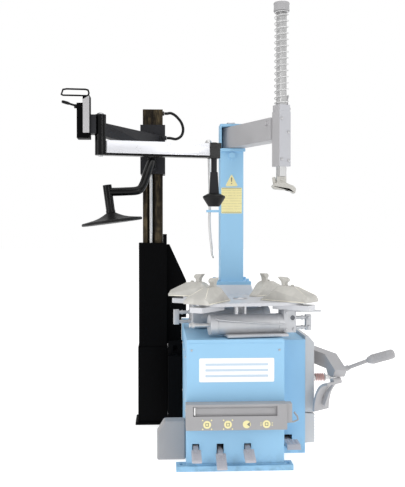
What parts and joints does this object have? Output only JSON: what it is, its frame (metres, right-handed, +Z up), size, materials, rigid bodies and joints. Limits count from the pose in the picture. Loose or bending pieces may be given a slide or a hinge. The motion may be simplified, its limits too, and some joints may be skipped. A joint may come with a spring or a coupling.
{
  "type": "tire changer machine",
  "caption": "Swing-arm tire changer: clamping turntable, spring-loaded mounting shaft, side bead breaker, foot pedals and a rising helper arm.",
  "frame": {"origin": "point on the floor under the turntable's axis", "axes": "+Z up along the turntable's axis, +Y from the operator's side to the column at the rear, +X to the bead breaker's side"},
  "size_m": [1.5461, 1.126, 2.143],
  "materials": {
    "blue_paint": "semi-gloss light blue powder coat",
    "grey_plastic": "textured moulded plastic",
    "rubber": "matt grey rubber",
    "bright_steel": "bright ground steel",
    "cast_jaw": "satin cast steel",
    "grey_paint": "satin grey paint",
    "alloy": "satin machined metal",
    "black_paint": "semi-gloss black powder coat",
    "oily_steel": "oily dark steel",
    "silver_beam": "bright brushed plating",
    "black_rubber": "black rubber",
    "red_spring": "red painted spring wire",
    "cast_iron": "dark cast iron"
  },
  "bodies": {
    "frame": {"base_plate": "blue_paint", "cabinet_body": "blue_paint", "rear_pedestal": "blue_paint", "control_console": "grey_plastic", "upper_side_pad": "rubber", "lower_side_pad": "rubber", "service_box": "grey_plastic", "gearbox": "cast_iron", "drive_motor": "cast_iron", "drive_belt": "black_rubber", "breaker_cylinder": "grey_paint", "breaker_bracket": "blue_paint", "column": "blue_paint", "swing_pin": "bright_steel", "tire_lever": "bright_steel", "tower_lower": "black_paint", "tower_upper": "black_paint", "tower_bracket": "black_paint", "helper_post": "oily_steel", "air_hose": "black_rubber"},
    "turntable": {"turntable_spindle": "bright_steel", "turntable_plate": "alloy", "clamp_cylinder_front": "alloy", "clamp_cylinder_rear": "alloy"},
    "gearbox_pulley": {"gearbox_pulley": "cast_iron"},
    "motor_pulley": {"motor_pulley": "cast_iron"},
    "jaw_rear_right": {"jaw_rear_right": "cast_jaw"},
    "jaw_rear_left": {"jaw_rear_left": "cast_jaw"},
    "jaw_front_left": {"jaw_front_left": "cast_jaw"},
    "jaw_front_right": {"jaw_front_right": "cast_jaw"},
    "clamp_rod_front": {"clamp_rod_front": "bright_steel"},
    "clamp_rod_rear": {"clamp_rod_rear": "bright_steel"},
    "pedal_left": {"pedal_left": "grey_plastic"},
    "pedal_centre": {"pedal_centre": "grey_plastic"},
    "pedal_right": {"pedal_right": "grey_plastic"},
    "side_pedal": {"side_pedal": "grey_plastic"},
    "breaker_arm": {"breaker_arm": "grey_paint", "breaker_grip": "grey_plastic"},
    "breaker_rod": {"breaker_rod": "bright_steel", "breaker_spring": "red_spring"},
    "breaker_blade": {"breaker_blade": "grey_paint"},
    "swing_arm": {"swing_arm": "grey_paint", "slide_housing": "alloy", "return_spring": "bright_steel"},
    "lock_lever": {"lock_lever": "grey_paint"},
    "mount_shaft": {"mount_shaft": "bright_steel", "shaft_cap": "grey_plastic", "mount_head": "alloy"},
    "carriage": {"carriage": "black_paint", "lift_rod": "bright_steel", "tapered_arm": "black_paint", "elbow_pin": "bright_steel", "handle_bracket": "black_paint"},
    "control_lever": {"control_lever": "black_paint"},
    "beam": {"beam": "silver_beam", "beam_carrier": "black_paint", "press_rod": "black_paint"},
    "press_cone": {"press_cone": "black_rubber"},
    "disc_arm": {"disc_arm": "black_paint"},
    "bead_disc": {"bead_disc": "black_rubber"}
  },
  "joints": [
    {"name": "turntable_turn", "type": "hinge", "parent": "frame", "child": "turntable", "pos_m": [0, 0, 0.728], "axis": [0, 0, 1], "continuous": true},
    {"name": "gearbox_pulley_turn", "type": "hinge", "parent": "frame", "child": "gearbox_pulley", "pos_m": [-0.1455, -0.07, 0.48], "axis": [1, 0, 0], "continuous": true},
    {"name": "motor_pulley_turn", "type": "hinge", "parent": "frame", "child": "motor_pulley", "pos_m": [-0.1455, -0.04, 0.22], "axis": [1, 0, 0], "continuous": true},
    {"name": "jaw_front_left_slide", "type": "slide", "parent": "turntable", "child": "jaw_front_left", "axis": [-0.5976, -0.8018, 0], "range_m": [-0.08, 0.02]},
    {"name": "jaw_rear_right_slide", "type": "slide", "parent": "turntable", "child": "jaw_rear_right", "axis": [0.5976, 0.8018, 0], "range_m": [-0.08, 0.02]},
    {"name": "jaw_rear_left_slide", "type": "slide", "parent": "turntable", "child": "jaw_rear_left", "axis": [-0.8018, 0.5976, 0], "range_m": [-0.08, 0.02]},
    {"name": "jaw_front_right_slide", "type": "slide", "parent": "turntable", "child": "jaw_front_right", "axis": [0.8018, -0.5976, 0], "range_m": [-0.08, 0.02]},
    {"name": "clamp_rod_front_slide", "type": "slide", "parent": "turntable", "child": "clamp_rod_front", "axis": [0.9895, 0.1444, 0], "range_m": [-0.02, 0.08]},
    {"name": "clamp_rod_rear_slide", "type": "slide", "parent": "turntable", "child": "clamp_rod_rear", "axis": [-0.9895, -0.1444, 0], "range_m": [-0.02, 0.08]},
    {"name": "pedal_left_press", "type": "hinge", "parent": "frame", "child": "pedal_left", "pos_m": [-0.222, -0.15, 0.1], "axis": [1, 0, 0], "range_deg": [0, 10], "stiffness_Nm_per_rad": 10, "springref_deg": -8.59},
    {"name": "pedal_centre_press", "type": "hinge", "parent": "frame", "child": "pedal_centre", "pos_m": [-0.115, -0.15, 0.1], "axis": [1, 0, 0], "range_deg": [-4, 6], "stiffness_Nm_per_rad": 60, "springref_deg": -0.23},
    {"name": "pedal_right_press", "type": "hinge", "parent": "frame", "child": "pedal_right", "pos_m": [0.006, -0.15, 0.1], "axis": [1, 0, 0], "range_deg": [0, 10], "stiffness_Nm_per_rad": 10, "springref_deg": -8.59},
    {"name": "side_pedal_press", "type": "hinge", "parent": "frame", "child": "side_pedal", "pos_m": [0.219, 0.06, 0.06], "axis": [1, 0, 0], "range_deg": [0, 8], "stiffness_Nm_per_rad": 20, "springref_deg": -8.59},
    {"name": "breaker_arm_swing", "type": "hinge", "parent": "frame", "child": "breaker_arm", "pos_m": [0.345, 0.45, 0.42], "axis": [0, 0, 1], "range_deg": [0, 35]},
    {"name": "breaker_rod_slide", "type": "slide", "parent": "frame", "child": "breaker_rod", "axis": [1, 0, 0], "range_m": [0, 0.21]},
    {"name": "breaker_blade_tilt", "type": "hinge", "parent": "breaker_arm", "child": "breaker_blade", "pos_m": [0.43946, -0.0789, 0.352], "axis": [0.766, 0.6428, 0], "range_deg": [-10, 10]},
    {"name": "swing_arm_swing", "type": "hinge", "parent": "frame", "child": "swing_arm", "pos_m": [0, 0.5, 1.54], "axis": [0, 0, 1], "range_deg": [-22, 60]},
    {"name": "mount_shaft_slide", "type": "slide", "parent": "swing_arm", "child": "mount_shaft", "axis": [0, 0, 1], "range_m": [-0.34, 0], "stiffness_N_per_m": 700, "springref_m": 0.35, "deforming": ["return_spring"]},
    {"name": "lock_lever_turn", "type": "hinge", "parent": "swing_arm", "child": "lock_lever", "pos_m": [0.23299, 0.08232, 1.636], "axis": [0.9031, 0.4295, 0], "range_deg": [0, 60]},
    {"name": "carriage_lift", "type": "slide", "parent": "frame", "child": "carriage", "axis": [0, 0, 1], "range_m": [-0.32, 0.05], "deforming": ["air_hose"]},
    {"name": "control_lever_tilt", "type": "hinge", "parent": "carriage", "child": "control_lever", "pos_m": [-0.77, 0, 1.628], "axis": [0, 1, 0], "range_deg": [-12, 12], "stiffness_Nm_per_rad": 2},
    {"name": "beam_swing", "type": "hinge", "parent": "carriage", "child": "beam", "pos_m": [-0.656, 0.014, 1.45], "axis": [0, 0, 1], "range_deg": [-60, 20]},
    {"name": "press_cone_spin", "type": "hinge", "parent": "beam", "child": "press_cone", "pos_m": [-0.115, 0.136, 1.2], "axis": [0, 0, 1], "continuous": true},
    {"name": "disc_arm_swing", "type": "hinge", "parent": "carriage", "child": "disc_arm", "pos_m": [-0.423, 0.52, 1.413], "axis": [0, 0, 1], "range_deg": [-25, 60]},
    {"name": "bead_disc_spin", "type": "hinge", "parent": "disc_arm", "child": "bead_disc", "pos_m": [-0.629, 0.33, 1.14], "axis": [0.1326, 0, -0.9912], "continuous": true}
  ],
  "couplings": [
    {"joint": "jaw_rear_right_slide", "follows": "jaw_front_left_slide", "ratio": 1},
    {"joint": "jaw_rear_left_slide", "follows": "jaw_front_left_slide", "ratio": 1},
    {"joint": "jaw_front_right_slide", "follows": "jaw_front_left_slide", "ratio": 1},
    {"joint": "clamp_rod_front_slide", "follows": "jaw_front_left_slide", "ratio": -1},
    {"joint": "clamp_rod_rear_slide", "follows": "jaw_front_left_slide", "ratio": -1},
    {"joint": "gearbox_pulley_turn", "follows": "turntable_turn", "ratio": 20},
    {"joint": "motor_pulley_turn", "follows": "turntable_turn", "ratio": 40},
    {"joint": "breaker_rod_slide", "follows": "breaker_arm_swing", "m_per_rad": 0.344}
  ]
}
